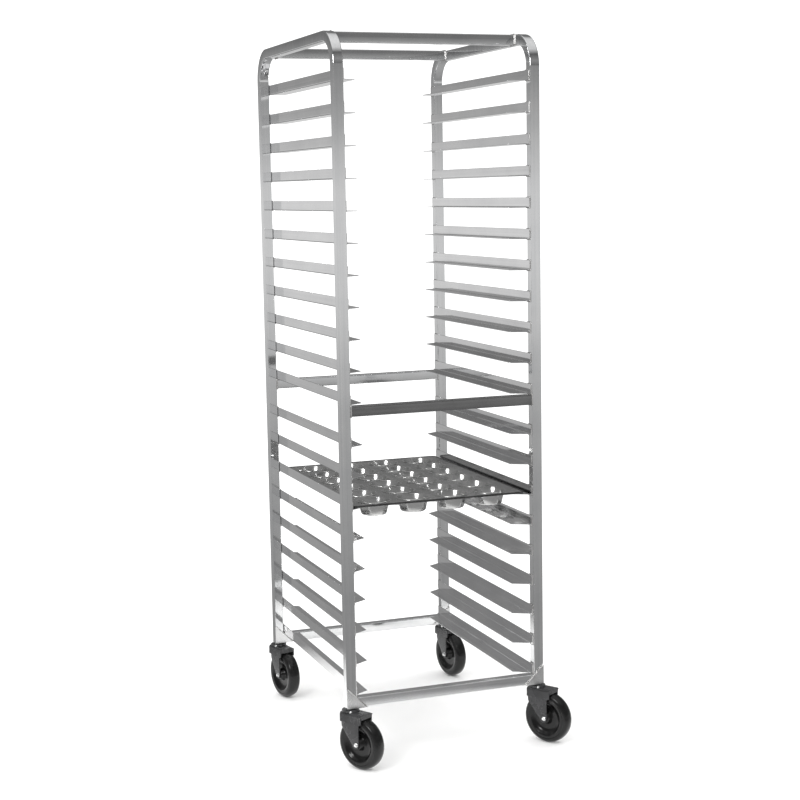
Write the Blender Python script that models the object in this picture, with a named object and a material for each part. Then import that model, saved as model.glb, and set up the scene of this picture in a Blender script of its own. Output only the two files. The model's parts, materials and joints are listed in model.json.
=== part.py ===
"""End-load sheet pan rack on four swivel casters, with one muffin pan on the fourteenth tier.

Metres, +Z up, floor at Z = 0. X runs left to right, the open front faces -Y.
The origin is on the floor, midway between the four posts.
"""

import bpy
import bmesh
from math import copysign, cos, pi, radians, sin, sqrt
from mathutils import Matrix, Vector

# Driving sizes of the frame
WIDTH = 0.523
DEPTH = 0.653
HEIGHT = 1.761
TUBE = 0.0254
TUBE_WALL = 0.0015
TUBE_CORNER = 0.0025
BEND_RADIUS = 0.082
BEND_STEPS = 6
POST_FOOT = 0.146
WELD_GAP = 0.0003
BITE = 0.001

# Crossbars: each pair is level, one at the front and one at the rear
TOP_BAR_SETBACK = 0.088
MIDDLE_BAR_TOP = 0.8827
BOTTOM_BAR_TOP = 0.1715
GUSSET_LEG = 0.050
GUSSET_THICKNESS = 0.0025
GUSSET_WELD_WIDTH = 0.008
GUSSET_WELD_FLOOR = 0.004
GUSSET_WELD_HEIGHT = 0.005

# Runners: L-shaped ledges, counted from the top
TIERS = 20
TIER_PITCH = 0.0762
TIERS_ABOVE_MIDDLE_BAR = 11
EXTRA_GAP_AT_MIDDLE_BAR = 0.0254
FIRST_RUNNER_FLOOR = 1.6450
RUNNER_HEIGHT = 0.0254
RUNNER_WIDTH = 0.041
RUNNER_THICKNESS = 0.002
RUNNER_HEEL = 0.002
RUNNER_SETBACK = 0.006
LEDGE_SETBACK = 0.023
LEDGE_NOSE = 0.019
LEDGE_STUB = 0.005

# Casters
WHEEL_RADIUS = 0.0635
TYRE_HALF_WIDTH = 0.0155
HUB_HALF_WIDTH = 0.0180
HUB_RADIUS = 0.013
HUB_FLARE = 0.0035
WEB_HALF_WIDTH = 0.007
RIM_RADIUS = 0.048
SHOULDER_RADIUS = 0.0580
TREAD_HALF_WIDTH = 0.0080
TRAIL = 0.034
AXLE_RADIUS = 0.004
RUNNING_CLEARANCE = 0.00008
AXLE_HEAD_RADIUS = 0.0072
AXLE_HEAD_LENGTH = 0.005
FORK_INNER = 0.0185
FORK_PLATE = 0.003
CROWN_FLOOR = 0.1300
CROWN_FRONT = 0.017
CROWN_REAR = 0.049
LEG_END_RADIUS = 0.015
LEG_END_START = 205
LEG_END_STEPS = 9
LEG_SHOULDER = 0.104
RACE_RADIUS = 0.0205
RACE_TOP = 0.1375
KINGPIN_RADIUS = 0.008
KINGPIN_FLOOR = 0.1245
STEM_RADIUS = 0.006
STEM_TOP = 0.186
SOCKET_DEPTH = 0.045
ROUND_STEPS = 24
AXLE_STEPS = 16
NUT_SIDES = 6

# Each caster trails in the direction it was left pointing, in degrees from +X
CASTERS = {
    "front_left": (-1, -1, -60.0),
    "front_right": (1, -1, -58.0),
    "rear_left": (-1, 1, -78.0),
    "rear_right": (1, 1, -80.0),
}

# Muffin pan
PAN_TIER = 14
PAN_WIDTH = 0.457
PAN_DEPTH = 0.618
PAN_FRONT_SETBACK = 0.027
PAN_EDGE_HEIGHT = 0.0055
PAN_SHEET = 0.0012
CUPS_ACROSS = 4
CUPS_DEEP = 6
CUP_PITCH_X = 0.1025
CUP_PITCH_Y = 0.1005
CUP_MOUTH_RADIUS = 0.0400
CUP_FLOOR_RADIUS = 0.0310
CUP_DEPTH = 0.036
CUP_STEPS = 12
MERGE_DISTANCE = 0.00002

HALF_WIDTH = WIDTH / 2
HALF_DEPTH = DEPTH / 2
POST_X = HALF_WIDTH - TUBE / 2
POST_Y = HALF_DEPTH - TUBE / 2
CLEAR_HALF_WIDTH = HALF_WIDTH - TUBE

X_AXIS = Vector((1, 0, 0))
Y_AXIS = Vector((0, 1, 0))
Z_AXIS = Vector((0, 0, 1))


def clear_scene():
    for old in list(bpy.data.objects):
        bpy.data.objects.remove(old, do_unlink=True)


def make_material(name, color, roughness, metallic):
    """One Principled material with constant values."""
    material = bpy.data.materials.new(name)
    material.use_nodes = True
    shader = material.node_tree.nodes["Principled BSDF"]
    shader.inputs["Base Color"].default_value = (*color, 1)
    shader.inputs["Roughness"].default_value = roughness
    shader.inputs["Metallic"].default_value = metallic
    material.diffuse_color = (*color, 1)
    return material


def tube_metal():
    return make_material("tube_metal", (0.62, 0.62, 0.63), 0.22, 1.0)


def runner_metal():
    return make_material("runner_metal", (0.58, 0.58, 0.59), 0.28, 1.0)


def fork_paint():
    return make_material("fork_paint", (0.045, 0.045, 0.045), 0.35, 0.0)


def wheel_rubber():
    return make_material("wheel_rubber", (0.02, 0.02, 0.02), 0.35, 0.0)


def pan_metal():
    return make_material("pan_metal", (0.66, 0.66, 0.66), 0.25, 1.0)


def add_object(name, mesh_builder, material, parent=None):
    """Turn a finished bmesh into a named object with one material."""
    bmesh.ops.recalc_face_normals(mesh_builder, faces=mesh_builder.faces)
    mesh = bpy.data.meshes.new(name)
    mesh_builder.to_mesh(mesh)
    mesh_builder.free()
    mesh.materials.append(material)
    body = bpy.data.objects.new(name, mesh)
    bpy.context.scene.collection.objects.link(body)
    body.parent = parent
    return body


def add_pivot(name, location, turn=0.0, parent=None):
    """An empty on a joint's axis, turned about Z."""
    pivot = bpy.data.objects.new(name, None)
    pivot.empty_display_size = 0.03
    pivot.location = location
    pivot.rotation_euler = (0, 0, turn)
    pivot.parent = parent
    bpy.context.scene.collection.objects.link(pivot)
    return pivot


def hide_cutter(cutter):
    cutter.hide_render = True
    cutter.display_type = "WIRE"


def add_boolean(body, other, operation):
    """Join or cut with the EXACT solver and keep the other object as a hidden helper."""
    modifier = body.modifiers.new(operation.lower() + "_" + other.name, "BOOLEAN")
    modifier.operation = operation
    modifier.solver = "EXACT"
    modifier.object = other
    hide_cutter(other)


def rounded_square(half, corner, steps=2):
    """Outline of a square with rounded corners, anticlockwise, as (u, v) pairs."""
    outline = []
    inset = half - corner
    for quarter in range(4):
        centre_angle = pi / 4 + quarter * pi / 2
        centre_u = inset * sqrt(2) * cos(centre_angle)
        centre_v = inset * sqrt(2) * sin(centre_angle)
        for step in range(steps + 1):
            angle = quarter * pi / 2 + step / steps * pi / 2
            outline.append((centre_u + corner * cos(angle), centre_v + corner * sin(angle)))
    return outline


def add_loop(builder, outline, origin, u_axis, v_axis):
    return [builder.verts.new(origin + u * u_axis + v * v_axis) for u, v in outline]


def bridge(builder, first, second):
    """Quads between two loops with the same number of points."""
    count = len(first)
    for index in range(count):
        after = (index + 1) % count
        builder.faces.new((first[index], first[after], second[after], second[index]))


def sweep_tube(stations):
    """Hollow square tube, open at both ends, through (origin, u axis, v axis) stations."""
    outer = rounded_square(TUBE / 2, TUBE_CORNER)
    inner = rounded_square(TUBE / 2 - TUBE_WALL, TUBE_CORNER - TUBE_WALL)
    builder = bmesh.new()
    outer_loops = [add_loop(builder, outer, *station) for station in stations]
    inner_loops = [add_loop(builder, inner, *station) for station in stations]
    for index in range(len(stations) - 1):
        bridge(builder, outer_loops[index], outer_loops[index + 1])
        bridge(builder, inner_loops[index], inner_loops[index + 1])
    bridge(builder, outer_loops[0], inner_loops[0])
    bridge(builder, outer_loops[-1], inner_loops[-1])
    return builder


def sweep_solid(loops):
    """Closed solid through matching point loops, capped at both ends."""
    builder = bmesh.new()
    rings = [[builder.verts.new(point) for point in loop] for loop in loops]
    for index in range(len(rings) - 1):
        bridge(builder, rings[index], rings[index + 1])
    builder.faces.new(rings[0])
    builder.faces.new(rings[-1])
    return builder


def box_builder(low, high):
    """Closed box between two corners."""
    builder = bmesh.new()
    size = Vector(high) - Vector(low)
    centre = (Vector(high) + Vector(low)) / 2
    place = Matrix.Translation(centre) @ Matrix.Diagonal((*size, 1))
    bmesh.ops.create_cube(builder, size=1, matrix=place)
    return builder


def cylinder_builder(radius, low, high, axis="Z", steps=ROUND_STEPS):
    """Closed cylinder along Z, or along Y, between two heights."""
    builder = bmesh.new()
    place = Matrix.Translation((0, 0, (low + high) / 2))
    if axis == "Y":
        place = Matrix.Rotation(-pi / 2, 4, "X") @ place
    bmesh.ops.create_cone(
        builder,
        cap_ends=True,
        segments=steps,
        radius1=radius,
        radius2=radius,
        depth=high - low,
        matrix=place,
    )
    return builder


def clear_radius(shaft_radius):
    """Corner radius of a faceted bore whose flats run clear of a shaft."""
    return (shaft_radius + RUNNING_CLEARANCE) / cos(pi / ROUND_STEPS)


def side_frame_stations(x):
    """Up the front post, round both bends along the top rail, and down the rear post."""
    stations = [(Vector((x, -POST_Y, POST_FOOT)), X_AXIS, -Y_AXIS)]
    axis_radius = BEND_RADIUS - TUBE / 2
    bend_y = HALF_DEPTH - BEND_RADIUS
    bend_z = HEIGHT - BEND_RADIUS
    for side, start in ((-1, pi), (1, pi / 2)):
        for step in range(BEND_STEPS + 1):
            angle = start - step / BEND_STEPS * pi / 2
            outward = Vector((0, cos(angle), sin(angle)))
            origin = Vector((x, side * bend_y, bend_z)) + axis_radius * outward
            stations.append((origin, X_AXIS, outward))
    stations.append((Vector((x, POST_Y, POST_FOOT)), X_AXIS, Y_AXIS))
    return stations


def make_side_frame(name, x, metal):
    """One bent tube with a bored caster socket welded into the foot of each post."""
    frame = add_object(name, sweep_tube(side_frame_stations(x)), metal)
    plug_half = TUBE / 2 - TUBE_WALL / 2
    for end, y in (("front", -POST_Y), ("rear", POST_Y)):
        low = (x - plug_half, y - plug_half, POST_FOOT + BITE)
        high = (x + plug_half, y + plug_half, POST_FOOT + SOCKET_DEPTH)
        plug = add_object(name + "_" + end + "_plug", box_builder(low, high), metal)
        add_boolean(frame, plug, "UNION")
        bore_top = POST_FOOT + SOCKET_DEPTH + BITE
        bore = cylinder_builder(clear_radius(STEM_RADIUS), POST_FOOT - BITE, bore_top)
        bmesh.ops.translate(bore, verts=bore.verts, vec=(x, y, 0))
        add_boolean(frame, add_object(name + "_" + end + "_bore", bore, metal), "DIFFERENCE")
    return frame


def make_crossbar(name, front_y, top_z, metal):
    """Square tube from one side frame to the other; front_y is its front face."""
    y = front_y + TUBE / 2
    z = top_z - TUBE / 2
    reach = CLEAR_HALF_WIDTH - WELD_GAP
    stations = [(Vector((end * reach, y, z)), Y_AXIS, Z_AXIS) for end in (-1, 1)]
    return add_object(name, sweep_tube(stations), metal)


def gusset_builder(side, front_y):
    """Triangular plate across the front of a post's foot and the bottom crossbar."""
    outer_x = side * HALF_WIDTH
    inner_x = side * (CLEAR_HALF_WIDTH - GUSSET_LEG / 2)
    foot_z = BOTTOM_BAR_TOP - TUBE
    outline = [(outer_x, foot_z), (outer_x, foot_z + GUSSET_LEG), (inner_x, foot_z)]
    back_y = front_y - WELD_GAP
    loops = []
    for y in (back_y - GUSSET_THICKNESS, back_y):
        loops.append([Vector((x, y, z)) for x, z in outline])
    return sweep_solid(loops)


def gusset_foot_builder(side, front_y):
    """Weld that joins the gusset to the crossbar behind it."""
    near = side * (CLEAR_HALF_WIDTH - 2 * BITE)
    far = near - side * GUSSET_WELD_WIDTH
    floor_z = BOTTOM_BAR_TOP - TUBE + GUSSET_WELD_FLOOR
    low = (min(near, far), front_y - GUSSET_THICKNESS / 2, floor_z)
    high = (max(near, far), front_y + TUBE_WALL / 2, floor_z + GUSSET_WELD_HEIGHT)
    return box_builder(low, high)


def make_bottom_crossbar(name, front_y, metal):
    """Crossbar with the gusset plate of each post welded to its front."""
    bar = make_crossbar(name, front_y, BOTTOM_BAR_TOP, metal)
    for end, side in (("left", -1), ("right", 1)):
        foot = add_object(name + "_" + end + "_weld", gusset_foot_builder(side, front_y), metal)
        add_boolean(bar, foot, "UNION")
        plate = add_object(name + "_" + end + "_gusset", gusset_builder(side, front_y), metal)
        add_boolean(bar, plate, "UNION")
    return bar


def runner_floor(tier):
    """Height of the underside of the runners of a tier."""
    drop = TIER_PITCH * (tier - 1)
    if tier > TIERS_ABOVE_MIDDLE_BAR:
        drop += EXTRA_GAP_AT_MIDDLE_BAR
    return FIRST_RUNNER_FLOOR - drop


def runner_outline(ledge):
    """Cross-section of a runner as (distance inward, height) pairs."""
    return [
        (0, RUNNER_HEIGHT),
        (RUNNER_THICKNESS, RUNNER_HEIGHT),
        (RUNNER_THICKNESS, RUNNER_THICKNESS),
        (ledge, RUNNER_THICKNESS),
        (ledge, 0),
        (RUNNER_HEEL, 0),
        (0, RUNNER_HEEL),
    ]


def make_runner(name, side, tier, metal):
    """L-shaped runner whose ledge is cut back to a nose at both ends."""
    wall_x = CLEAR_HALF_WIDTH - WELD_GAP
    floor_z = runner_floor(tier)
    stations = [
        (HALF_DEPTH - RUNNER_SETBACK, LEDGE_STUB),
        (HALF_DEPTH - LEDGE_SETBACK, LEDGE_STUB),
        (HALF_DEPTH - LEDGE_SETBACK - LEDGE_NOSE, RUNNER_WIDTH),
    ]
    stations = [(-y, ledge) for y, ledge in stations] + stations[::-1]
    loops = []
    for y, ledge in stations:
        outline = runner_outline(ledge)
        loops.append([Vector((side * (wall_x - inward), y, floor_z + up)) for inward, up in outline])
    return add_object(name, sweep_solid(loops), metal)


def leg_outline():
    """Side view of a fork leg as (x, z) pairs, x along the trail."""
    top = CROWN_FLOOR + FORK_PLATE
    outline = [(CROWN_REAR, top), (-CROWN_FRONT, top), (-CROWN_FRONT, LEG_SHOULDER)]
    for step in range(LEG_END_STEPS + 1):
        angle = radians(LEG_END_START + step / LEG_END_STEPS * (360 - LEG_END_START))
        x = TRAIL + LEG_END_RADIUS * cos(angle)
        z = WHEEL_RADIUS + LEG_END_RADIUS * sin(angle)
        outline.append((x, z))
    return outline


def leg_builder(side):
    loops = []
    for y in (side * FORK_INNER, side * (FORK_INNER + FORK_PLATE)):
        loops.append([Vector((x, y, z)) for x, z in leg_outline()])
    return sweep_solid(loops)


def fork_pieces():
    """The pieces that are welded, pressed or bolted into one caster fork."""
    outer = FORK_INNER + FORK_PLATE
    crown_top = CROWN_FLOOR + FORK_PLATE
    crown_low = (-CROWN_FRONT, -outer + BITE, CROWN_FLOOR)
    crown_high = (CROWN_REAR, outer - BITE, crown_top)
    axle = cylinder_builder(AXLE_RADIUS, -outer - BITE, outer + BITE, "Y", AXLE_STEPS)
    pieces = {
        "left_leg": leg_builder(-1),
        "right_leg": leg_builder(1),
        "axle": axle,
        "race": cylinder_builder(RACE_RADIUS, crown_top - BITE, RACE_TOP),
        "kingpin": cylinder_builder(KINGPIN_RADIUS, KINGPIN_FLOOR, CROWN_FLOOR + BITE, "Z", NUT_SIDES),
        "stem": cylinder_builder(STEM_RADIUS, RACE_TOP - BITE, STEM_TOP),
    }
    for side, end in ((-1, "head"), (1, "nut")):
        low, high = sorted((side * (outer - BITE), side * (outer + AXLE_HEAD_LENGTH)))
        pieces["axle_" + end] = cylinder_builder(AXLE_HEAD_RADIUS, low, high, "Y", NUT_SIDES)
    for piece in ("axle", "axle_head", "axle_nut"):
        bmesh.ops.translate(pieces[piece], verts=pieces[piece].verts, vec=(TRAIL, 0, WHEEL_RADIUS))
    return box_builder(crown_low, crown_high), pieces


def make_fork(name, pivot, paint):
    """Fork with its stem and axle, in the pivot's own axes: x trails, y is the axle."""
    crown, pieces = fork_pieces()
    fork = add_object(name, crown, paint, pivot)
    for piece, builder in pieces.items():
        add_boolean(fork, add_object(name + "_" + piece, builder, paint, pivot), "UNION")
    return fork


def wheel_profile():
    """Half section of the wheel as (axial, radial) pairs, bore to tread and back."""
    bore = clear_radius(AXLE_RADIUS)
    half = [
        (HUB_HALF_WIDTH, bore),
        (HUB_HALF_WIDTH, HUB_RADIUS),
        (WEB_HALF_WIDTH, HUB_RADIUS + HUB_FLARE),
        (WEB_HALF_WIDTH, RIM_RADIUS - HUB_FLARE),
        (TYRE_HALF_WIDTH, RIM_RADIUS),
        (TYRE_HALF_WIDTH, SHOULDER_RADIUS),
        (TREAD_HALF_WIDTH, WHEEL_RADIUS),
    ]
    return half + [(-axial, radial) for axial, radial in half[::-1]]


def make_wheel(name, pivot, rubber):
    """Turned wheel with a bore, centred on its own axle."""
    builder = bmesh.new()
    rings = []
    for step in range(ROUND_STEPS):
        angle = 2 * pi * step / ROUND_STEPS
        outward = Vector((cos(angle), 0, sin(angle)))
        points = [axial * Y_AXIS + radial * outward for axial, radial in wheel_profile()]
        rings.append([builder.verts.new(point) for point in points])
    for step in range(ROUND_STEPS):
        bridge(builder, rings[step], rings[(step + 1) % ROUND_STEPS])
    wheel = add_object(name, builder, rubber, pivot)
    wheel.location = (TRAIL, 0, WHEEL_RADIUS)
    return wheel


def make_caster(place, side_x, side_y, trail_degrees, paint, rubber):
    pivot_place = (side_x * POST_X, side_y * POST_Y, 0)
    pivot = add_pivot(place + "_caster_pivot", pivot_place, radians(trail_degrees))
    make_fork(place + "_caster_fork", pivot, paint)
    make_wheel(place + "_caster_wheel", pivot, rubber)


def cell_edge(ray):
    """Where a ray from a cup's centre meets the edge of its rectangle of sheet."""
    across = abs(ray.x) / (CUP_PITCH_X / 2)
    along = abs(ray.y) / (CUP_PITCH_Y / 2)
    return ray / max(across, along)


def add_cup(builder, centre):
    """Rectangle of sheet with one cup hanging from its middle."""
    edge = []
    mouth = []
    floor = []
    corner = Vector((CUP_PITCH_X / 2, CUP_PITCH_Y / 2, 0))
    for step in range(CUP_STEPS):
        angle = pi / 4 + 2 * pi * step / CUP_STEPS
        ray = Vector((cos(angle), sin(angle), 0))
        reach = cell_edge(ray)
        if step % (CUP_STEPS // 4) == 0:
            reach = Vector((copysign(corner.x, ray.x), copysign(corner.y, ray.y), 0))
        edge.append(builder.verts.new(centre + reach))
        mouth.append(builder.verts.new(centre + ray * CUP_MOUTH_RADIUS))
        floor.append(builder.verts.new(centre + ray * CUP_FLOOR_RADIUS - CUP_DEPTH * Z_AXIS))
    bridge(builder, edge, mouth)
    bridge(builder, mouth, floor)
    builder.faces.new(floor)


def extend_rim(builder, scale_x, scale_y, height):
    """Carry the sheet's free edge on to a larger rectangle at the given height."""
    rim = [edge for edge in builder.edges if edge.is_boundary]
    grown = bmesh.ops.extrude_edge_only(builder, edges=rim)["geom"]
    for vert in grown:
        if isinstance(vert, bmesh.types.BMVert):
            vert.co = Vector((vert.co.x * scale_x, vert.co.y * scale_y, height))


def make_muffin_pan(name, metal):
    """Cups pressed in a sheet with a turned-down edge, standing on its tier's runners."""
    builder = bmesh.new()
    for column in range(CUPS_ACROSS):
        for row in range(CUPS_DEEP):
            centre_x = (column - (CUPS_ACROSS - 1) / 2) * CUP_PITCH_X
            centre_y = (row - (CUPS_DEEP - 1) / 2) * CUP_PITCH_Y
            add_cup(builder, Vector((centre_x, centre_y, PAN_EDGE_HEIGHT)))
    bmesh.ops.remove_doubles(builder, verts=builder.verts, dist=MERGE_DISTANCE)
    scale_x = PAN_WIDTH / (CUPS_ACROSS * CUP_PITCH_X)
    scale_y = PAN_DEPTH / (CUPS_DEEP * CUP_PITCH_Y)
    extend_rim(builder, scale_x, scale_y, PAN_EDGE_HEIGHT)
    extend_rim(builder, 1, 1, 0)
    pan = add_object(name, builder, metal)
    ledge_top = runner_floor(PAN_TIER) + RUNNER_THICKNESS
    middle_y = -HALF_DEPTH + PAN_FRONT_SETBACK + PAN_DEPTH / 2
    pan.location = (0, middle_y, ledge_top + WELD_GAP)
    sheet = pan.modifiers.new("sheet_thickness", "SOLIDIFY")
    sheet.thickness = PAN_SHEET
    sheet.offset = -1
    sheet.use_even_offset = True
    return pan


def build_rack():
    clear_scene()
    metal = tube_metal()
    ledge_metal = runner_metal()
    front_y = -HALF_DEPTH
    rear_y = HALF_DEPTH - TUBE
    make_side_frame("left_side_frame", -POST_X, metal)
    make_side_frame("right_side_frame", POST_X, metal)
    make_crossbar("front_top_crossbar", front_y + TOP_BAR_SETBACK, HEIGHT, metal)
    make_crossbar("rear_top_crossbar", rear_y - TOP_BAR_SETBACK, HEIGHT, metal)
    make_crossbar("front_middle_crossbar", front_y, MIDDLE_BAR_TOP, metal)
    make_crossbar("rear_middle_crossbar", rear_y, MIDDLE_BAR_TOP, metal)
    make_bottom_crossbar("front_bottom_crossbar", front_y, metal)
    make_bottom_crossbar("rear_bottom_crossbar", rear_y, metal)
    for tier in range(1, TIERS + 1):
        make_runner(f"left_runner_{tier:02d}", -1, tier, ledge_metal)
        make_runner(f"right_runner_{tier:02d}", 1, tier, ledge_metal)
    paint = fork_paint()
    rubber = wheel_rubber()
    for place, (side_x, side_y, trail_degrees) in CASTERS.items():
        make_caster(place, side_x, side_y, trail_degrees, paint, rubber)
    make_muffin_pan("muffin_pan", pan_metal())


build_rack()
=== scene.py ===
# %% [markdown]
# # A sheet pan rack with a muffin pan
#
# A bakery rack is two side frames of square aluminium tube, each bent to an upside-down U, tied together
# by crossbars. Thin L-shaped runners are welded inside the posts in pairs, and pans slide in on their
# ledges. Four swivel casters stand in the feet of the posts.
#
# The imported CAD model is loaded first, because every piece below takes its place from it and rides on
# one of its bodies.

import json
from math import atan2, cos, degrees, pi, radians, sin, sqrt

import bmesh
import bpy
from mathutils import Matrix, Vector


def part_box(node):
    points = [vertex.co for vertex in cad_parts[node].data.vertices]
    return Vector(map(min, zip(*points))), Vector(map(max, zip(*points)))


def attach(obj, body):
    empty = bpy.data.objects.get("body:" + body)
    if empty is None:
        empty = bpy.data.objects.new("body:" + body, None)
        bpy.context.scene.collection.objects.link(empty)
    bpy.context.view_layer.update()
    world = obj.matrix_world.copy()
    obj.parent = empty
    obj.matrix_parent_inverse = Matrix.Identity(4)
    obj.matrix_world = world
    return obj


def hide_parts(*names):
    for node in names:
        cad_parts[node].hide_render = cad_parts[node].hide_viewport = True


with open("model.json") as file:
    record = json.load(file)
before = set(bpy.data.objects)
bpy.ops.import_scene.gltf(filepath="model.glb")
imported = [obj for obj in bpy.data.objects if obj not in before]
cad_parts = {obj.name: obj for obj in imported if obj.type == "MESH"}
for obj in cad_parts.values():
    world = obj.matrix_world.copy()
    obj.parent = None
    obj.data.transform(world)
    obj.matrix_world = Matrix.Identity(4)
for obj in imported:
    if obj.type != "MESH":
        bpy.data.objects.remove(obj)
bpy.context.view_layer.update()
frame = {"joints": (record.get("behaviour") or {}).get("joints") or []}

# %% [markdown]
# Every operator works on what is selected, and loading leaves the CAD nodes selected. These helpers do
# what a hand does before each step: let go of everything, take one object, and pick faces, edges or
# points by where they are. In edit mode the pick is made on the live mesh.


# %% Helpers for taking hold of things
def take(piece):
    """Only this object is selected and active."""
    bpy.ops.object.select_all(action="DESELECT")
    piece.select_set(True)
    bpy.context.view_layer.objects.active = piece


def enter(piece):
    take(piece)
    bpy.ops.object.mode_set(mode="EDIT")


def leave():
    bpy.ops.object.mode_set(mode="OBJECT")


def pick(piece, kind, test):
    """In edit mode, selects the faces, edges or verts whose middle passes the test."""
    bpy.ops.mesh.select_mode(type={"faces": "FACE", "edges": "EDGE", "verts": "VERT"}[kind])
    bpy.ops.mesh.select_all(action="DESELECT")
    mesh = bmesh.from_edit_mesh(piece.data)
    found = 0
    for element in getattr(mesh, kind):
        corners = [element] if kind == "verts" else element.verts
        middle = sum((v.co for v in corners), Vector()) / len(corners)
        if test(middle, element):
            element.select_set(True)
            found += 1
    mesh.select_flush_mode()
    bmesh.update_edit_mesh(piece.data)
    return found


def extrude(x=0.0, y=0.0, z=0.0):
    """Extrudes the selection and moves it."""
    bpy.ops.mesh.extrude_region_move(TRANSFORM_OT_translate={"value": (x, y, z)})


def finish_mesh(piece, name, smooth_degrees=40):
    """Names a piece, merges doubled points, turns its faces outwards and shades it."""
    piece.name = name
    piece.data.name = name
    enter(piece)
    bpy.ops.mesh.select_all(action="SELECT")
    bpy.ops.mesh.remove_doubles(threshold=0.00001)
    bpy.ops.mesh.normals_make_consistent(inside=False)
    leave()
    bpy.ops.object.shade_smooth_by_angle(angle=radians(smooth_degrees))
    return piece


def apply_modifier(piece, kind, **settings):
    """Adds a modifier, sets it and applies it at once."""
    take(piece)
    modifier = piece.modifiers.new(kind.lower(), kind)
    for key, value in settings.items():
        setattr(modifier, key, value)
    bpy.ops.object.modifier_apply(modifier=modifier.name)


def flatten_shading(piece):
    """Large faces keep their own normal, and the small ones of a rounded edge turn between them."""
    apply_modifier(piece, "WEIGHTED_NORMAL", mode="FACE_AREA", weight=100, keep_sharp=True)


def round_edges(piece, width, segments=2, angle=35):
    limit = radians(angle)
    apply_modifier(piece, "BEVEL", width=width, segments=segments, limit_method="ANGLE", angle_limit=limit)
    flatten_shading(piece)


def copy_piece(piece, name, matrix):
    """A copy with its own mesh, placed by a matrix that goes into the mesh."""
    other = piece.copy()
    other.data = piece.data.copy()
    other.name = name
    other.data.name = name
    bpy.context.scene.collection.objects.link(other)
    other.data.transform(matrix)
    if matrix.determinant() < 0:
        other.data.flip_normals()
        take(other)
        bpy.ops.mesh.customdata_custom_splitnormals_clear()
        bpy.ops.object.shade_smooth_by_angle(angle=radians(30))
        flatten_shading(other)
    return other


def join(pieces, name):
    """Joins several objects into one."""
    bpy.ops.object.select_all(action="DESELECT")
    for piece in pieces:
        piece.select_set(True)
    bpy.context.view_layer.objects.active = pieces[0]
    if len(pieces) > 1:
        bpy.ops.object.join()
    pieces[0].name = name
    pieces[0].data.name = name
    return pieces[0]


def drop(piece):
    bpy.data.objects.remove(piece, do_unlink=True)


# %% [markdown]
# The tube's size and the places of posts, bars and runners all come from the boxes of the CAD nodes, so
# that the finished pieces lie exactly where the physical ones do.

# %% Sizes read from the frame
side_low, side_high = (Vector(corner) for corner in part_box("left_side_frame"))
TUBE = side_high.x - side_low.x
HALF_WIDTH = -side_low.x
HALF_DEPTH = -side_low.y
HEIGHT = side_high.z
POST_FOOT = side_low.z
POST_X = HALF_WIDTH - TUBE / 2
POST_Y = HALF_DEPTH - TUBE / 2
INNER_X = HALF_WIDTH - TUBE
BEND_RADIUS = 0.082
CORNER = 0.0028
WALL = 0.0018
TIERS = 20
frame_size = [round(2000 * HALF_WIDTH), round(2000 * HALF_DEPTH), round(1000 * HEIGHT)]
print(f"tube {TUBE * 1000:.1f} mm, frame {frame_size} mm")

# %% [markdown]
# ## Metal
#
# Polished aluminium is all reflection, so its character is in small things: fine draw lines along the
# tube, cloudy patches where hands and cloths have rubbed it, and roughness that changes with both. Two
# node groups make the lines and the patches once, and each metal places them with its own stretch and
# keeps its own Principled shader. A third group finds sharp edges, where the black parts are worn.


# %% Helpers for node trees
def new_group(name, inputs, outputs):
    """A shader node group with named sockets. Gives the group, its input node and its output node."""
    group = bpy.data.node_groups.new(name, "ShaderNodeTree")
    for label, kind, default in inputs:
        socket = group.interface.new_socket(label, in_out="INPUT", socket_type=kind)
        if default is not None:
            socket.default_value = default
    for label, kind in outputs:
        group.interface.new_socket(label, in_out="OUTPUT", socket_type=kind)
    return group, group.nodes.new("NodeGroupInput"), group.nodes.new("NodeGroupOutput")


def add_node(tree, kind, **settings):
    node = tree.nodes.new("ShaderNode" + kind)
    for key, value in settings.items():
        setattr(node, key, value)
    return node


def set_ramp(node, stops):
    """Sets a Color Ramp's stops from (place, value) or (place, colour) pairs."""
    elements = node.color_ramp.elements
    while len(elements) > 1:
        elements.remove(elements[-1])
    for index, (place, value) in enumerate(stops):
        element = elements[0] if index == 0 else elements.new(place)
        element.position = place
        element.color = (*value, 1) if isinstance(value, tuple) else (value, value, value, 1)


FLOAT, VECTOR = "NodeSocketFloat", "NodeSocketVector"


# %% Draw lines, handling marks and worn edges
def draw_lines_group():
    """Fine lines along one direction: the stretch is small along the lines and large across them."""
    group, given, result = new_group(
        "draw_lines", [("Stretch", VECTOR, (900, 900, 6))], [("Lines", FLOAT), ("Streaks", FLOAT)]
    )
    place = add_node(group, "TexCoord")
    scale = add_node(group, "VectorMath", operation="MULTIPLY")
    group.links.new(place.outputs["Object"], scale.inputs[0])
    group.links.new(given.outputs["Stretch"], scale.inputs[1])
    fine = add_node(group, "TexNoise")
    fine.inputs["Scale"].default_value = 1.0
    fine.inputs["Detail"].default_value = 2.0
    group.links.new(scale.outputs["Vector"], fine.inputs["Vector"])
    broad = add_node(group, "TexNoise")
    broad.inputs["Scale"].default_value = 0.22
    broad.inputs["Detail"].default_value = 3.0
    group.links.new(scale.outputs["Vector"], broad.inputs["Vector"])
    group.links.new(fine.outputs["Fac"], result.inputs["Lines"])
    group.links.new(broad.outputs["Fac"], result.inputs["Streaks"])
    return group


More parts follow.
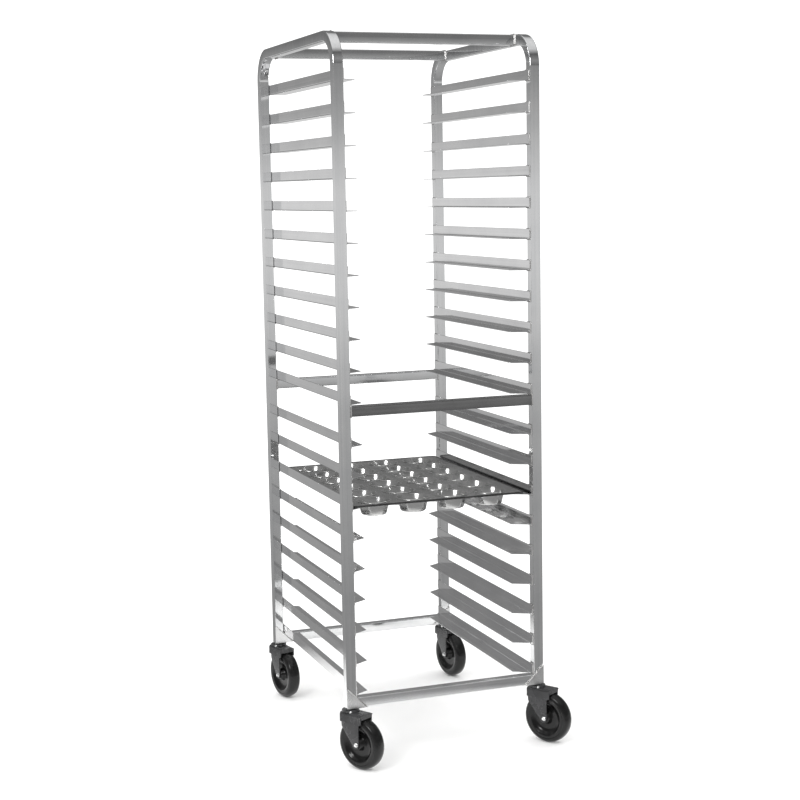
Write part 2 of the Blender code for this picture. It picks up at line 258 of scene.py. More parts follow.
def handling_group():
    """Cloudy rubbed patches and a few small dull spots."""
    group, given, result = new_group(
        "handling_marks", [("Size", FLOAT, 9.0)], [("Clouds", FLOAT), ("Spots", FLOAT)]
    )
    place = add_node(group, "TexCoord")
    clouds = add_node(group, "TexNoise")
    clouds.inputs["Detail"].default_value = 4.0
    clouds.inputs["Roughness"].default_value = 0.6
    group.links.new(place.outputs["Object"], clouds.inputs["Vector"])
    group.links.new(given.outputs["Size"], clouds.inputs["Scale"])
    spots = add_node(group, "TexVoronoi")
    spots.inputs["Scale"].default_value = 85.0
    group.links.new(place.outputs["Object"], spots.inputs["Vector"])
    limit = add_node(group, "MapRange")
    limit.inputs["From Min"].default_value = 0.05
    limit.inputs["From Max"].default_value = 0.16
    limit.inputs["To Min"].default_value = 1.0
    limit.inputs["To Max"].default_value = 0.0
    group.links.new(spots.outputs["Distance"], limit.inputs["Value"])
    group.links.new(clouds.outputs["Fac"], result.inputs["Clouds"])
    group.links.new(limit.outputs["Result"], result.inputs["Spots"])
    return group


def edge_group():
    """Bright along sharp edges, broken up by a fine noise, for paint and plastic that wear there."""
    group, given, result = new_group("edge_wear", [("Amount", FLOAT, 0.5)], [("Wear", FLOAT)])
    shape = add_node(group, "NewGeometry")
    edge = add_node(group, "MapRange")
    edge.inputs["From Min"].default_value = 0.53
    edge.inputs["From Max"].default_value = 0.60
    group.links.new(shape.outputs["Pointiness"], edge.inputs["Value"])
    place = add_node(group, "TexCoord")
    chips = add_node(group, "TexNoise")
    chips.inputs["Scale"].default_value = 260.0
    group.links.new(place.outputs["Object"], chips.inputs["Vector"])
    broken = add_node(group, "MapRange")
    broken.inputs["From Min"].default_value = 0.45
    broken.inputs["From Max"].default_value = 0.62
    group.links.new(chips.outputs["Fac"], broken.inputs["Value"])
    both = add_node(group, "Math", operation="MULTIPLY")
    group.links.new(edge.outputs["Result"], both.inputs[0])
    group.links.new(broken.outputs["Result"], both.inputs[1])
    share = add_node(group, "Math", operation="MULTIPLY")
    group.links.new(both.outputs["Value"], share.inputs[0])
    group.links.new(given.outputs["Amount"], share.inputs[1])
    group.links.new(share.outputs["Value"], result.inputs["Wear"])
    return group


DRAW_LINES = draw_lines_group()
HANDLING = handling_group()
EDGE_WEAR = edge_group()
print("node groups:", [group.name for group in bpy.data.node_groups])


# %% [markdown]
# A metal mixes the same ingredients: the clouds shift its tone and roughness a little, the draw lines do
# the same at a fine scale and also raise the surface by a hair for the bump. One function builds it, so
# that each metal is only its own numbers. The middle crossbar in front and the pan sheet are painted
# darker than the rest. This is a painted dark reflection that stands in for the dark things they would
# mirror in a real room. The cups are painted lighter than the sheet, a painted highlight in their hollows.


# %% Metals
def place_group(tree, group, **values):
    node = tree.nodes.new("ShaderNodeGroup")
    node.node_tree = group
    for label, value in values.items():
        node.inputs[label].default_value = value
    return node


def blend(tree, first, second, factor):
    """A number between two others, by a mask in 0 to 1."""
    node = add_node(tree, "MapRange")
    node.inputs["To Min"].default_value = first
    node.inputs["To Max"].default_value = second
    tree.links.new(factor, node.inputs["Value"])
    return node.outputs["Result"]


def tint(tree, dark, light, factor):
    node = add_node(tree, "ValToRGB")
    set_ramp(node, [(0.3, dark), (0.7, light)])
    tree.links.new(factor, node.inputs["Fac"])
    return node.outputs["Color"]


def make_metal(name, dark, light, smooth, rough, stretch, bump=0.012):
    material = bpy.data.materials.new(name)
    material.use_nodes = True
    tree = material.node_tree
    shader = tree.nodes["Principled BSDF"]
    shader.inputs["Metallic"].default_value = 1.0
    lines = place_group(tree, DRAW_LINES, Stretch=stretch)
    marks = place_group(tree, HANDLING, Size=9.0)
    mixed = add_node(tree, "Math", operation="ADD")
    share = add_node(tree, "Math", operation="MULTIPLY")
    share.inputs[1].default_value = 0.5
    tree.links.new(lines.outputs["Streaks"], mixed.inputs[0])
    tree.links.new(marks.outputs["Clouds"], mixed.inputs[1])
    tree.links.new(mixed.outputs["Value"], share.inputs[0])
    tree.links.new(tint(tree, dark, light, share.outputs["Value"]), shader.inputs["Base Color"])
    spread = add_node(tree, "MapRange")
    spread.inputs["From Min"].default_value = 0.3
    spread.inputs["From Max"].default_value = 0.7
    spread.inputs["To Min"].default_value = smooth
    spread.inputs["To Max"].default_value = rough
    tree.links.new(share.outputs["Value"], spread.inputs["Value"])
    tree.links.new(spread.outputs["Result"], shader.inputs["Roughness"])
    height = add_node(tree, "Bump")
    height.inputs["Strength"].default_value = bump
    height.inputs["Distance"].default_value = 0.0002
    tree.links.new(lines.outputs["Lines"], height.inputs["Height"])
    tree.links.new(height.outputs["Normal"], shader.inputs["Normal"])
    return material


post_metal = make_metal("polished_post", (0.74, 0.75, 0.76), (0.92, 0.92, 0.92), 0.04, 0.10, (700, 700, 5))
bar_metal = make_metal("polished_bar", (0.70, 0.71, 0.72), (0.90, 0.90, 0.90), 0.04, 0.10, (5, 700, 700))
# The front middle crossbar's metal is painted dark: a painted dark reflection, not a duller finish.
dark_reflection_bar_metal = make_metal("dull_bar", (0.19, 0.19, 0.19), (0.31, 0.31, 0.31), 0.12, 0.26, (5, 700, 700))
runner_metal = make_metal("drawn_runner", (0.80, 0.80, 0.81), (0.97, 0.97, 0.97), 0.04, 0.10, (800, 5, 800))
plate_metal = make_metal(
    "sheared_plate", (0.66, 0.66, 0.66), (0.92, 0.92, 0.92), 0.16, 0.30, (240, 240, 60), 0.08)
weld_metal = make_metal("weld_bead", (0.52, 0.51, 0.50), (0.95, 0.94, 0.93), 0.20, 0.42, (300, 300, 300), 0.3)
zinc = make_metal("bright_zinc", (0.88, 0.89, 0.90), (0.99, 0.99, 0.98), 0.16, 0.30, (300, 300, 300), 0.05)
# The pan sheet is painted darker than the other metals, a painted dark reflection.
pan_sheet_dark_reflection_metal = make_metal(
    "bright_pan_sheet", (0.42, 0.42, 0.42), (0.64, 0.64, 0.63), 0.12, 0.24, (60, 60, 60), 0.05)
# The cups are the same tinned metal painted lighter than the sheet, a painted highlight.
cup_painted_highlight_metal = make_metal("bright_cup", (0.56, 0.56, 0.56), (0.76, 0.76, 0.75), 0.12, 0.22, (60, 60, 60), 0.05)
# The rolled edge is painted nearly black: painted shade along the edge of the pan, not wear.
pan_edge_painted_shade_metal = make_metal(
    "worn_pan_edge", (0.05, 0.05, 0.05), (0.16, 0.16, 0.16), 0.14, 0.30, (90, 90, 90), 0.05)


# %% [markdown]
# The forks are stamped steel with a gloss black enamel that chips along its edges, and the wheels are a
# hard black rubber, shiny where it is clean and grey where floor dust lies in patches.


# %% Enamel and rubber
def make_black(name, tone, smooth, rough, worn, wear, dust_size, shine):
    material = bpy.data.materials.new(name)
    material.use_nodes = True
    tree = material.node_tree
    shader = tree.nodes["Principled BSDF"]
    marks = place_group(tree, HANDLING, Size=dust_size)
    edges = place_group(tree, EDGE_WEAR, Amount=wear)
    shader.inputs["Specular IOR Level"].default_value = shine
    dusty = tuple(value * 1.7 for value in tone)
    base = tint(tree, tone, dusty, marks.outputs["Clouds"])
    mix = add_node(tree, "MixRGB")
    mix.inputs["Color2"].default_value = (*worn, 1)
    tree.links.new(edges.outputs["Wear"], mix.inputs["Fac"])
    tree.links.new(base, mix.inputs["Color1"])
    tree.links.new(mix.outputs["Color"], shader.inputs["Base Color"])
    tree.links.new(blend(tree, smooth, rough, marks.outputs["Clouds"]), shader.inputs["Roughness"])
    bump = add_node(tree, "Bump")
    bump.inputs["Strength"].default_value = 0.08
    bump.inputs["Distance"].default_value = 0.0003
    tree.links.new(marks.outputs["Clouds"], bump.inputs["Height"])
    tree.links.new(bump.outputs["Normal"], shader.inputs["Normal"])
    return material


fork_enamel = make_black(
    "black_enamel", (0.020, 0.020, 0.021), 0.20, 0.34, (0.14, 0.14, 0.14), 0.35, 30.0, 0.5)
wheel_rubber = make_black(
    "black_rubber", (0.004, 0.004, 0.004), 0.12, 0.26, (0.03, 0.03, 0.03), 0.3, 24.0, 0.36)
print("materials:", len(bpy.data.materials))


# %% [markdown]
# ## Side frames
#
# A side frame is one length of square tube with soft corners, bent over a former at both top corners. By
# hand that is a plane the size of the tube with rounded corners, pulled up the post, spun a quarter turn
# about the centre of the bend, pulled along the rail, spun again and pulled down. The foot is inset by
# the tube's wall and pushed in, so that the cut end shows its thickness.


# %% Bent tube
def rounded_plane(width_x, width_y, centre, corner, segments=3):
    """A flat face with rounded corners, in edit mode with everything selected."""
    bpy.ops.object.select_all(action="DESELECT")
    bpy.ops.mesh.primitive_plane_add(size=1, location=centre)
    piece = bpy.context.object
    piece.scale = (width_x, width_y, 1)
    bpy.ops.object.transform_apply(location=True, rotation=True, scale=True)
    enter(piece)
    bpy.ops.mesh.select_all(action="SELECT")
    bpy.ops.mesh.bevel(affect="VERTICES", offset=corner, segments=segments)
    bpy.ops.mesh.select_all(action="SELECT")
    return piece


def make_side_tube(name, x):
    bend_y = HALF_DEPTH - BEND_RADIUS
    bend_z = HEIGHT - BEND_RADIUS
    piece = rounded_plane(TUBE, TUBE, (x, -POST_Y, POST_FOOT), CORNER)
    extrude(z=bend_z - POST_FOOT)
    bpy.ops.mesh.spin(steps=14, angle=pi / 2, center=(x, -bend_y, bend_z), axis=(1, 0, 0))
    extrude(y=2 * bend_y)
    bpy.ops.mesh.spin(steps=14, angle=pi / 2, center=(x, bend_y, bend_z), axis=(1, 0, 0))
    extrude(z=POST_FOOT - bend_z)
    pick(piece, "faces", lambda middle, face: abs(middle.z - POST_FOOT) < 1e-4 and abs(face.normal.z) > 0.9)
    bpy.ops.mesh.inset(thickness=WALL, use_individual=True)
    bpy.ops.mesh.extrude_region_move(TRANSFORM_OT_translate={"value": (0, 0, 0.002)})
    leave()
    finish_mesh(piece, name, 35)
    flatten_shading(piece)
    return piece


left_frame = make_side_tube("left_bent_frame", -POST_X)
right_frame = make_side_tube("right_bent_frame", POST_X)
for piece, node in ((left_frame, "left_side_frame"), (right_frame, "right_side_frame")):
    piece.data.materials.append(post_metal)
    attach(piece, "rack_frame")
    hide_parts(node)
print("side frame:", len(left_frame.data.polygons), "faces")

# %% [markdown]
# ## Crossbars and weld beads
#
# Each crossbar is the same tube, butted against the side frames and welded all round. A weld bead is a
# row of small overlapping scales. A curve whose radius swells and shrinks from point to point gives that
# shape, once it is made a mesh.


# %% Weld beads
def make_bead(points, radius, closed=False):
    """A rippled bead along a line of points, as a mesh."""
    pitch = radius * 0.8
    count = len(points)
    steps = []
    for index in range(count if closed else count - 1):
        start = points[index]
        end = points[(index + 1) % count]
        parts = max(2, round((end - start).length / pitch))
        steps += [start.lerp(end, part / parts) for part in range(parts)]
    if not closed:
        steps.append(points[-1])
    curve = bpy.data.curves.new("bead", "CURVE")
    curve.dimensions = "3D"
    curve.bevel_depth = radius
    curve.bevel_resolution = 1
    curve.use_fill_caps = True
    line = curve.splines.new("POLY")
    line.points.add(len(steps) - 1)
    line.use_cyclic_u = closed
    for index, (point, place) in enumerate(zip(line.points, steps)):
        point.co = (*place, 1)
        point.radius = 1.0 if index % 2 == 0 else 0.72
    bead = bpy.data.objects.new("bead", curve)
    bpy.context.scene.collection.objects.link(bead)
    take(bead)
    bpy.ops.object.convert(target="MESH")
    return bpy.context.object


# %% Crossbars
BARS = [f"{end}_{level}_crossbar" for end in ("front", "rear") for level in ("top", "middle", "bottom")]


def make_bar(name, low, high):
    """A straight tube between the side frames."""
    middle = (low + high) / 2
    bpy.ops.object.select_all(action="DESELECT")
    piece = rounded_plane(TUBE, TUBE, (0, 0, 0), CORNER)
    extrude(z=2 * INNER_X)
    leave()
    turn = Matrix.Translation((-INNER_X, middle.y, middle.z)) @ Matrix.Rotation(pi / 2, 4, "Y")
    piece.data.transform(turn)
    finish_mesh(piece, name, 35)
    flatten_shading(piece)
    return piece


def bar_welds(middle):
    """A bead round each end of a bar."""
    half = TUBE / 2 + 0.0004
    beads = []
    for side in (-1, 1):
        x = side * (INNER_X - 0.0006)
        corners = [(-1, -1), (1, -1), (1, 1), (-1, 1)]
        loop = [Vector((x, middle.y + a * half, middle.z + b * half)) for a, b in corners]
        beads.append(make_bead(loop, 0.0022, closed=True))
    return beads


weld_pieces = []
for bar in BARS:
    low, high = (Vector(corner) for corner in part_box(bar))
    foot_z = low.z
    if "bottom" in bar:
        rear = bar.startswith("rear")
        low.y = HALF_DEPTH - TUBE if rear else -HALF_DEPTH
        high.y = low.y + TUBE
        high.z = foot_z + TUBE
    piece = make_bar(bar + "_tube", low, high)
    # The front middle crossbar takes the metal that is painted dark, a painted dark reflection.
    piece.data.materials.append(dark_reflection_bar_metal if bar == "front_middle_crossbar" else bar_metal)
    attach(piece, "rack_frame")
    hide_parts(bar)
    weld_pieces += bar_welds((low + high) / 2)
crossbar_welds = join(weld_pieces, "crossbar_weld_beads")
crossbar_welds.data.materials.clear()
crossbar_welds.data.materials.append(weld_metal)
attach(crossbar_welds, "rack_frame")
print("crossbar welds:", len(crossbar_welds.data.polygons), "faces")

# %% [markdown]
# ## Gussets
#
# A small triangle of plate stiffens each foot, across the post and the bottom crossbar. It is a plane
# with one corner merged away, thickened and softened, with a bead down its long edge.


# %% Gusset plates
GUSSET = 0.050
GUSSET_THICKNESS = 0.0025


def make_gusset(name, side, rear):
    foot_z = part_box("front_bottom_crossbar")[0][2]
    face_y = HALF_DEPTH - TUBE if rear else -HALF_DEPTH
    outer = side * (HALF_WIDTH - 0.0004)
    inner = side * (INNER_X - GUSSET / 2)
    bpy.ops.object.select_all(action="DESELECT")
    bpy.ops.mesh.primitive_plane_add(size=1, rotation=(pi / 2, 0, 0))
    piece = bpy.context.object
    piece.scale = (abs(outer - inner), GUSSET, 1)
    piece.location = ((outer + inner) / 2, face_y - 0.0002, foot_z + GUSSET / 2)
    bpy.ops.object.transform_apply(location=True, rotation=True, scale=True)
    enter(piece)
    top = foot_z + GUSSET
    pick(piece, "verts", lambda at, v: abs(at.x - inner) < 1e-4 and abs(at.z - top) < 1e-4)
    bpy.ops.mesh.delete(type="VERT")
    bpy.ops.mesh.select_all(action="SELECT")
    bpy.ops.mesh.edge_face_add()
    bpy.ops.mesh.bevel(affect="VERTICES", offset=0.003, segments=3)
    bpy.ops.mesh.select_all(action="SELECT")
    extrude(y=-GUSSET_THICKNESS)
    leave()
    finish_mesh(piece, name, 30)
    round_edges(piece, 0.0005)
    high = Vector((outer - side * 0.001, face_y - GUSSET_THICKNESS, top))
    low = Vector((inner, face_y - GUSSET_THICKNESS, foot_z + 0.001))
    bead = make_bead([high, low], 0.0016)
    bead.data.materials.append(weld_metal)
    piece.data.materials.append(plate_metal)
    for part in (piece, bead):
        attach(part, "rack_frame")
    bead.name = name + "_weld_bead"
    return piece


for end in ("front", "rear"):
    for label, side in (("left", -1), ("right", 1)):
        make_gusset(f"{end}_{label}_gusset", side, end == "rear")

# %% [markdown]
# ## Runners
#
# A runner is a strip of sheet folded to an L: a flange that is welded to the posts and a ledge that the
# pan slides on. The ledge is cut back at both ends, so that a pan finds its way in. One left runner is
# drawn as a sheet: the ledge first, its inner edge shortened, then the flange pulled up from the outer
# edge, the fold rounded, and the whole given its thickness. The rest are copies.

# %% One runner
runner_low, runner_high = (Vector(corner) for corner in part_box("left_runner_01"))
FLANGE = runner_high.z - runner_low.z
RUNNER_END = runner_high.y
SHEET = 0.002
LEDGE_WALL_END = RUNNER_END - 0.013
LEDGE_NOSE_END = RUNNER_END - 0.036


def make_runner():
    """The first left runner, as a sheet that is then thickened."""
    wall = runner_low.x + SHEET / 2
    nose = runner_high.x
    floor = runner_low.z + SHEET / 2
    bpy.ops.object.select_all(action="DESELECT")
    bpy.ops.mesh.primitive_plane_add(size=1, location=((wall + nose) / 2, 0, floor))
    piece = bpy.context.object
    piece.scale = (nose - wall, 2 * LEDGE_WALL_END, 1)
    bpy.ops.object.transform_apply(location=True, rotation=True, scale=True)
    enter(piece)
    pick(piece, "edges", lambda at, e: abs(at.x - nose) < 1e-4)
    bpy.ops.transform.resize(value=(1, LEDGE_NOSE_END / LEDGE_WALL_END, 1))
    pick(piece, "edges", lambda at, e: abs(at.x - wall) < 1e-4)
    extrude(z=FLANGE - SHEET / 2)
    for end in (-1, 1):
        pick(piece, "edges", lambda at, e: at.z > floor + 0.005 and at.y * end > LEDGE_WALL_END - 1e-4)
        extrude(y=end * (RUNNER_END - LEDGE_WALL_END))
    fold = lambda at, e: abs(at.x - wall) < 1e-4 and abs(at.z - floor) < 1e-4 and e.calc_length() > 0.1
    pick(piece, "edges", fold)
    bpy.ops.mesh.bevel(offset=0.0022, segments=3, affect="EDGES")
    leave()
    apply_modifier(piece, "SOLIDIFY", thickness=SHEET, offset=0, use_even_offset=True)
    finish_mesh(piece, "left_ledge_01", 30)
    round_edges(piece, 0.00045)
    return piece


first_runner = make_runner()
first_runner.data.materials.append(runner_metal)
print("runner:", len(first_runner.data.polygons), "faces,", [round(v, 4) for v in first_runner.dimensions])

# %% [markdown]
# The welds that hold a runner are short beads along the top and the bottom of its flange, where it
# crosses each post. All the beads of one side are joined, since they are one material on one body.


# %% All runners and their welds
def runner_welds(side, low, high):
    beads = []
    x = side * (INNER_X - 0.0008)
    for end in (-1, 1):
        start_y = end * (RUNNER_END - 0.001)
        stop_y = end * (HALF_DEPTH - TUBE + 0.001)
        for z in (high.z + 0.0002, low.z - 0.0002):
            beads.append(make_bead([Vector((x, start_y, z)), Vector((x, stop_y, z))], 0.0015))
        tip_y = end * (RUNNER_END + 0.0004)
        ends = [Vector((x, tip_y, low.z + 0.001)), Vector((x, tip_y, high.z - 0.001))]
        beads.append(make_bead(ends, 0.0019))
    return beads


for label, side in (("left", -1), ("right", 1)):
    beads = []
    for tier in range(1, TIERS + 1):
        node = f"{label}_runner_{tier:02d}"
        low, high = (Vector(corner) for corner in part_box(node))
        lift = Matrix.Translation((0, 0, low.z - runner_low.z))
        mirror = Matrix.Diagonal((-side, 1, 1, 1))
        piece = first_runner
        if node != "left_runner_01":
            piece = copy_piece(first_runner, f"{label}_ledge_{tier:02d}", mirror @ lift)
        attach(piece, "rack_frame")
        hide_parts(node)
        beads += runner_welds(side, low, high)
    welds = join(beads, f"{label}_runner_weld_beads")
    welds.data.materials.append(weld_metal)
    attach(welds, "rack_frame")
    print(label, "runner welds:", len(welds.data.polygons), "faces")

# %% [markdown]
# ## Casters
#
# A stem caster is a fork of pressed steel under a ball race, on a zinc-plated stem that is driven into
# the post. Each part is made once, standing on the floor with its stem over the origin and its wheel
# trailing towards +X. The four casters are copies, turned to where their wheels had rolled.

# %% Caster sizes
WHEEL_R = 0.0635
TRAIL = 0.034
CROWN_Z = 0.1365
SKIRT_Z = 0.1150
STEM_R = 0.0050
FORK_HALF = 0.020
FORK_SHEET = 0.003


# %% Turned parts
def turned(name, profile, steps=32, axis="Z"):
    """Spins a line of (radius, height) points round the Z or the Y axis, as a closed shape."""
    bpy.ops.object.select_all(action="DESELECT")
    bpy.ops.mesh.primitive_plane_add(size=1)
    piece = bpy.context.object
    enter(piece)
    bpy.ops.mesh.select_all(action="SELECT")
    bpy.ops.mesh.delete(type="VERT")
    mesh = bmesh.from_edit_mesh(piece.data)
    points = [mesh.verts.new((radius, 0, height)) for radius, height in profile]
    for start, end in zip(points, points[1:]):
        mesh.edges.new((start, end))
    bmesh.update_edit_mesh(piece.data)
    bpy.ops.mesh.select_all(action="SELECT")
    bpy.ops.mesh.spin(steps=steps, angle=2 * pi, center=(0, 0, 0), axis=(0, 0, 1))
    bpy.ops.mesh.select_all(action="SELECT")
    bpy.ops.mesh.remove_doubles(threshold=0.00002)
    leave()
    if axis == "Y":
        piece.data.transform(Matrix.Rotation(pi / 2, 4, "X"))
    return finish_mesh(piece, name, 35)


def hexagon(name, width, low, high, axis="Z", point=0.0):
    """A bolt head or nut: six sides, with its corners turned down and a dished face."""
    bpy.ops.object.select_all(action="DESELECT")
    bpy.ops.mesh.primitive_cylinder_add(vertices=6, radius=width / sqrt(3), depth=high - low)
    piece = bpy.context.object
    enter(piece)
    pick(piece, "faces", lambda at, face: face.normal.z > 0.9)
    bpy.ops.mesh.inset(thickness=width * 0.12)
    extrude(z=point)
    leave()
    piece.data.transform(Matrix.Translation((0, 0, (low + high) / 2)))
    if axis == "Y":
        piece.data.transform(Matrix.Rotation(pi / 2, 4, "X"))
    finish_mesh(piece, name, 30)
    round_edges(piece, 0.0005)
    return piece


# %% Wheel
def make_wheel():
    """Tyre and core in one turned profile: hub, sunken web, dished rim, flat side, round tread."""
    half = [
        (0.0045, 0.0182), (0.0120, 0.0182), (0.0130, 0.0172), (0.0150, 0.0090), (0.0175, 0.0068),
        (0.0290, 0.0062), (0.0350, 0.0078), (0.0395, 0.0112), (0.0425, 0.0150), (0.0438, 0.0158),
        (0.0500, 0.0160), (0.0512, 0.0152), (0.0522, 0.0152), (0.0532, 0.0158), (0.0575, 0.0150),
        (0.0602, 0.0128), (0.0621, 0.0094), (0.0631, 0.0052), (0.0635, 0.0),
    ]
    profile = half + [(radius, -axial) for radius, axial in half[-2::-1]] + [half[0]]
    wheel = turned("wheel", profile, 64, "Y")
    wheel.data.transform(Matrix.Translation((TRAIL, 0, WHEEL_R)))
    wheel.data.materials.append(wheel_rubber)
    return wheel


# %% Fork
def make_fork():
    """Crown, skirts and legs from one sheet: each leg is pulled down from its skirt, drawn in to the axle
    and rounded off, and its leading edge is turned in towards the wheel."""
    front, rear = -0.017, 0.049
    end_r, end_x = 0.0105, TRAIL - 0.003
    bpy.ops.object.select_all(action="DESELECT")
    bpy.ops.mesh.primitive_plane_add(size=1, location=(rear / 2, 0, CROWN_Z))
    piece = bpy.context.object
    piece.scale = (rear, 2 * FORK_HALF, 1)
    bpy.ops.object.transform_apply(location=True, rotation=True, scale=True)
    enter(piece)
    pick(piece, "edges", lambda at, e: abs(at.x) < 1e-4)
    extrude(x=front)
    pick(piece, "edges", lambda at, e: abs(abs(at.y) - FORK_HALF) < 1e-4)
    extrude(z=SKIRT_Z - CROWN_Z)
    lowest, centre, half = SKIRT_Z, (front + rear) / 2, (rear - front) / 2
    shape = [(0.1130, 0.0125, 0.0295), (0.1010, 0.0127, 0.0288), (WHEEL_R, end_x, end_r)]
    round_end = (0.35, 0.7, 1.05, 1.35, 1.55)
    shape += [(WHEEL_R - end_r * sin(a), end_x, max(end_r * cos(a), 0.001)) for a in round_end]
    for z, middle, wide in shape:
        level_edge = lambda at, e: abs(at.z - lowest) < 1e-5 and abs(e.verts[0].co.z - e.verts[1].co.z) < 1e-5
        pick(piece, "edges", level_edge)
        extrude(x=middle - centre, z=z - lowest)
        bpy.ops.transform.resize(value=(wide / half, 1, 1), center_override=(middle, 0, z))
        centre, half, lowest = middle, wide, z
    for side in (-1, 1):
        pick(piece, "verts", lambda at, v: at.x < front + 0.003 and 0.1 < at.z < 0.114 and at.y * side > 0)
        bpy.ops.transform.translate(value=(0, -side * 0.0055, 0))
    pick(piece, "edges", lambda at, e: abs(at.x - rear) < 1e-4 and abs(at.z - CROWN_Z) < 1e-4)
    extrude(z=-0.010)
    pick(piece, "edges", lambda at, e: at.z > CROWN_Z - 1e-4 and abs(abs(at.y) - FORK_HALF) < 1e-4)
    bpy.ops.mesh.bevel(offset=0.005, segments=4, affect="EDGES")
    leave()
    apply_modifier(piece, "SOLIDIFY", thickness=FORK_SHEET, offset=0, use_even_offset=True)
    finish_mesh(piece, "fork", 35)
    round_edges(piece, 0.0006)
    piece.data.materials.append(fork_enamel)
    return piece


# %% Race, stem, axle and nuts
def caster_parts():
    """Each part of one caster, by name: the wheel, and the parts that ride on the fork."""
    outer = FORK_HALF + FORK_SHEET / 2
    race_r, race_low, race_high = 0.0215, 0.1378, 0.1426
    race_profile = [
        (0.0, race_low), (0.0208, race_low), (race_r, 0.1384), (race_r, 0.1415), (0.0208, 0.1423),
        (0.0120, race_high), (0.0, race_high)]
    race = turned("race", race_profile, 40)
    race.data.materials.append(fork_enamel)
    collar = STEM_R + 0.0010
    stem_profile = [
        (0.0, 0.1424), (collar, 0.1424), (collar, 0.1434), (STEM_R, 0.1438), (STEM_R, 0.1500), (0.0, 0.1500)]
    stem = turned("stem", stem_profile, 24)
    kingpin = hexagon("kingpin", 0.014, 0.1310, 0.1352, point=0.0005)
    nipple_profile = [
        (0.0, 0.0), (0.0034, 0.0), (0.0034, 0.0010), (0.0028, 0.0018), (0.0020, 0.0026), (0.0010, 0.0030),
        (0.0, 0.0031)]
    nipple = turned("grease_nipple", nipple_profile, 20, "Y")
    nipple.data.transform(Matrix.Translation((0, -0.0213, 0.1400)))
    nipple.data.transform(Matrix.Rotation(radians(42), 4, "Z"))
    washer_profile = [
        (0.0030, 0.0), (0.0048, 0.0), (0.0050, 0.0003), (0.0050, 0.0008), (0.0030, 0.0008), (0.0030, 0.0)]
    nut_width = 0.0072
    head = hexagon("axle_head", nut_width, outer + 0.0008, outer + 0.0040, "Y", 0.0005)
    nut = hexagon("axle_nut", nut_width, outer + 0.0008, outer + 0.0040, "Y", 0.0004)
    nut.data.transform(Matrix.Rotation(pi, 4, "Z"))
    tip_profile = [
        (0.0, outer), (0.0028, outer), (0.0028, outer + 0.0050), (0.0023, outer + 0.0054),
        (0.0, outer + 0.0054)]
    tip = turned("axle_end", tip_profile, 16, "Y")
    washer = turned("washer", washer_profile, 24, "Y")
    washer.data.transform(Matrix.Translation((0, -outer, 0)))
    other_washer = copy_piece(washer, "other_washer", Matrix.Rotation(pi, 4, "Z"))
    sleeve = turned("sleeve", [(0.0, -0.0186), (0.0055, -0.0186), (0.0055, 0.0186), (0.0, 0.0186)], 20, "Y")
    axle_parts = [head, nut, tip, washer, other_washer, sleeve]
    for part in axle_parts:
        part.data.transform(Matrix.Translation((TRAIL, 0, WHEEL_R)))
    for part in [stem, kingpin, nipple] + axle_parts:
        part.data.materials.append(zinc)
    return {
        "fork_plate": make_fork(),
        "ball_race": race,
        "stem_pin": stem,
        "axle_bolt": join(axle_parts + [kingpin, nipple], "axle_bolt"),
        "wheel_tyre": make_wheel(),
    }


PARTS = caster_parts()
print("caster faces:", {name: len(part.data.polygons) for name, part in PARTS.items()})

# %% [markdown]
# The place and the direction of each caster come from its two joints: the swivel's axis stands over the
# caster, and the wheel's axle points across the way it trails.


# %% Four casters
JOINTS = {joint["name"]: joint for joint in frame["joints"]}
for corner in ("front_left", "front_right", "rear_left", "rear_right"):
    swivel = Vector(JOINTS[corner + "_swivel"]["pos_m"])
    axle = Vector(JOINTS[corner + "_roll"]["pos_m"])
    trail = axle - swivel
    angle = atan2(trail.y, trail.x)
    place = Matrix.Translation((swivel.x, swivel.y, 0)) @ Matrix.Rotation(angle, 4, "Z")
    print(corner, "trails towards", round(degrees(angle)), "degrees")
    for name, part in PARTS.items():
        piece = copy_piece(part, f"{corner}_{name}", place)
        on_wheel = name == "wheel_tyre"
        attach(piece, corner + ("_wheel" if on_wheel else "_fork"))
        if on_wheel:
            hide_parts(corner + "_caster_wheel")
        if name == "fork_plate":
            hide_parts(corner + "_caster_fork")
for part in PARTS.values():
    drop(part)

# %% [markdown]
# ## Muffin pan
#
# The pan is a thin sheet with its edge rolled round a wire, and a deep cup crimped into each of
# its holes. The sheet is a plate with the holes cut through it. One cup is drawn ring by ring, from the
# crimped lip over the edge of the hole and down the tapered wall to the floor, then copied.

# %% Pan sizes
pan_low, pan_high = (Vector(corner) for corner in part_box("muffin_pan"))
PAN_TOP = pan_high.z
PAN_MIDDLE = (pan_low + pan_high) / 2
ROLL = 0.0027
CUPS_ACROSS, CUPS_DEEP = 4, 6
CUP_PITCH = Vector((0.1025, 0.1005, 0))
MOUTH, FLOOR_R, CUP_DEPTH = 0.0400, 0.0305, 0.0345


def cup_centres():
    for column in range(CUPS_ACROSS):
        for row in range(CUPS_DEEP):
            x = PAN_MIDDLE.x + (column - (CUPS_ACROSS - 1) / 2) * CUP_PITCH.x
            y = PAN_MIDDLE.y + (row - (CUPS_DEEP - 1) / 2) * CUP_PITCH.y
            yield Vector((x, y, PAN_TOP)), f"{row + 1}_{column + 1}"


